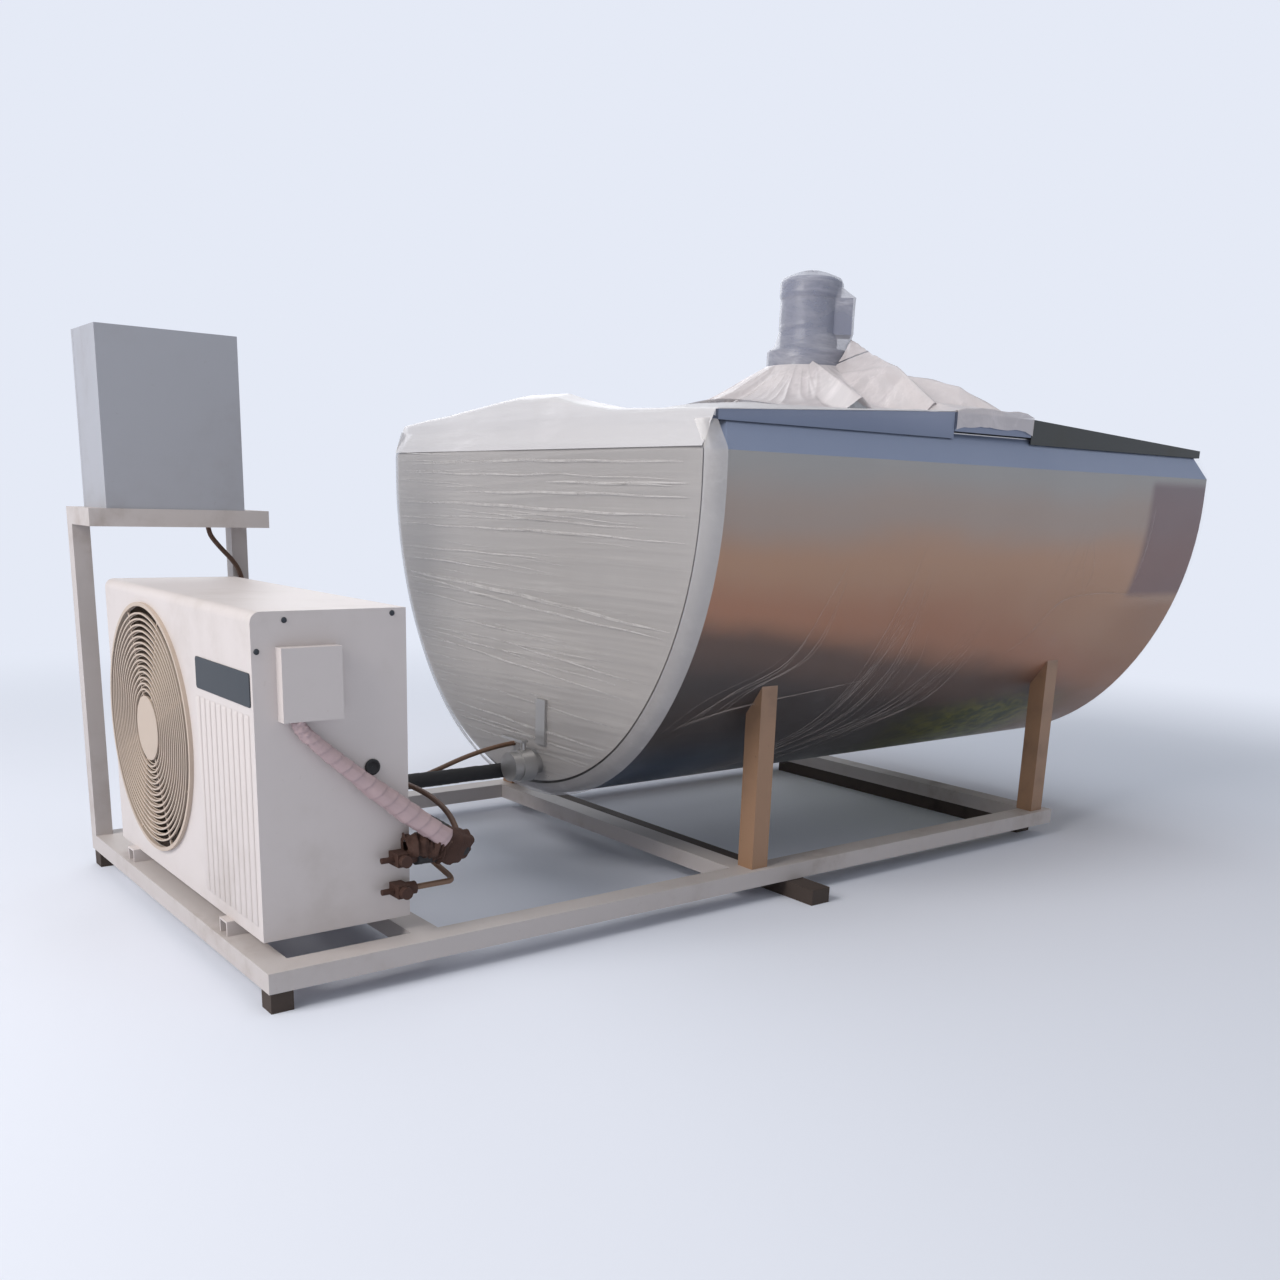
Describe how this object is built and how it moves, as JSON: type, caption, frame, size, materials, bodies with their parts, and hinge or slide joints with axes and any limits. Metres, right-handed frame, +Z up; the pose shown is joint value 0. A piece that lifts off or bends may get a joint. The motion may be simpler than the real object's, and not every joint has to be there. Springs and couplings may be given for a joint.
{
  "type": "milk cooler",
  "caption": "Bulk milk cooling tank on a tube frame, with lids, agitator drive, condensing unit and control box on a stand, partly wrapped in stretch film.",
  "frame": {"origin": "on the ground, midway between the ends and the sides of the whole machine", "axes": "+X from the condensing unit to the far end of the tank, +Y to the side that carries the control stand, +Z up"},
  "size_m": [2.838, 1.38, 1.534],
  "materials": {
    "stainless_steel": "satin",
    "frame_tube": "dull grey",
    "ground_block": "dark, weathered",
    "cream_casing": "semi-gloss",
    "grey_box": "textured",
    "foam": "matt",
    "black_rubber": "matt",
    "grille_plastic": "satin",
    "black_plastic": "satin",
    "red_plastic": "gloss",
    "green_plastic": "gloss",
    "brass": "dull",
    "coil_fins": "satin",
    "drive_paint": "semi-gloss",
    "pink_tape": "satin",
    "stretch_film": "clear, wrinkled"
  },
  "bodies": {
    "root": {"agitator_bridge": "stainless_steel", "agitator_motor": "drive_paint", "cable_gland": "black_plastic", "compressor": "black_plastic", "condenser_coil": "coil_fins", "control_box_shell": "grey_box", "control_cable": "black_rubber", "control_stand": "frame_tube", "cross_rails": "frame_tube", "door_hinge_pins": "stainless_steel", "end_panels": "stainless_steel", "evaporator_plate": "stainless_steel", "fan_grille": "grille_plastic", "fan_motor": "coil_fins", "fan_motor_bracket": "coil_fins", "front_tent_film": "stretch_film", "gearbox": "drive_paint", "ground_supports": "ground_block", "inner_vessel": "stainless_steel", "insulation": "foam", "lid_hinge_pins": "stainless_steel", "long_rails": "frame_tube", "motor_fan_cowl": "drive_paint", "motor_pedestal": "drive_paint", "motor_terminal_box": "drive_paint", "outer_jacket": "stainless_steel", "outlet_cap": "stainless_steel", "outlet_valve": "stainless_steel", "partition_plate": "coil_fins", "rear_tent_film": "stretch_film", "refrigerant_lines": "black_rubber", "rim_gasket": "black_rubber", "service_valves": "brass", "shaft_bush": "black_plastic", "shoulder_ring": "stainless_steel", "switchgear": "grey_box", "tank_legs": "frame_tube", "taped_bundle": "pink_tape", "temperature_probe": "stainless_steel", "terminal_cover": "cream_casing", "unit_base_pan": "cream_casing", "unit_front_panel": "cream_casing", "unit_side_panel": "cream_casing", "unit_top_cover": "cream_casing"},
    "front_lid": {"front_lid": "stainless_steel", "front_lid_handle": "stainless_steel"},
    "rear_lid": {"rear_lid": "stainless_steel", "rear_lid_handle": "stainless_steel"},
    "agitator": {"agitator_shaft": "stainless_steel", "agitator_paddle": "stainless_steel"},
    "fan": {"fan_propeller": "black_plastic"},
    "box_door": {"control_box_door": "grey_box", "temperature_controller": "black_plastic", "pilot_lamps": "green_plastic", "switch_holders": "black_plastic"},
    "door_lock": {"door_lock": "stainless_steel"},
    "main_switch": {"main_switch_knob": "black_plastic"},
    "start_button": {"start_button": "green_plastic"},
    "stop_button": {"stop_button": "red_plastic"},
    "outlet_handle": {"outlet_handle": "stainless_steel"}
  },
  "joints": [
    {"name": "front_lid_hinge", "type": "hinge", "parent": "root", "child": "front_lid", "pos_m": [0.27, 0, 1.1604], "axis": [0, 1, 0], "range_deg": [0, 90], "deforming": ["front_tent_film"]},
    {"name": "rear_lid_hinge", "type": "hinge", "parent": "root", "child": "rear_lid", "pos_m": [0.572, 0, 1.1604], "axis": [0, -1, 0], "range_deg": [0, 90], "deforming": ["rear_tent_film"]},
    {"name": "agitator_spin", "type": "hinge", "parent": "root", "child": "agitator", "pos_m": [0.431, 0, 0.8], "axis": [0, 0, 1], "continuous": true},
    {"name": "fan_spin", "type": "hinge", "parent": "root", "child": "fan", "pos_m": [-1.313, 0.111, 0.42], "axis": [1, 0, 0], "continuous": true},
    {"name": "box_door_hinge", "type": "hinge", "parent": "root", "child": "box_door", "pos_m": [-1.051, 0.5615, 1.076], "axis": [0, 0, -1], "range_deg": [0, 110]},
    {"name": "door_lock_turn", "type": "hinge", "parent": "box_door", "child": "door_lock", "pos_m": [-1.356, 0.57, 1.076], "axis": [0, 1, 0], "range_deg": [0, 90]},
    {"name": "main_switch_turn", "type": "hinge", "parent": "box_door", "child": "main_switch", "pos_m": [-1.2175, 0.57, 0.968], "axis": [0, 1, 0], "range_deg": [0, 90]},
    {"name": "start_button_push", "type": "slide", "parent": "box_door", "child": "start_button", "axis": [0, -1, 0], "range_m": [0, 0.004], "stiffness_N_per_m": 400},
    {"name": "stop_button_push", "type": "slide", "parent": "box_door", "child": "stop_button", "axis": [0, -1, 0], "range_m": [0, 0.004], "stiffness_N_per_m": 400},
    {"name": "outlet_handle_turn", "type": "hinge", "parent": "root", "child": "outlet_handle", "pos_m": [-0.552, -0.075, 0.33], "axis": [0, 0, 1], "range_deg": [0, 90]}
  ]
}
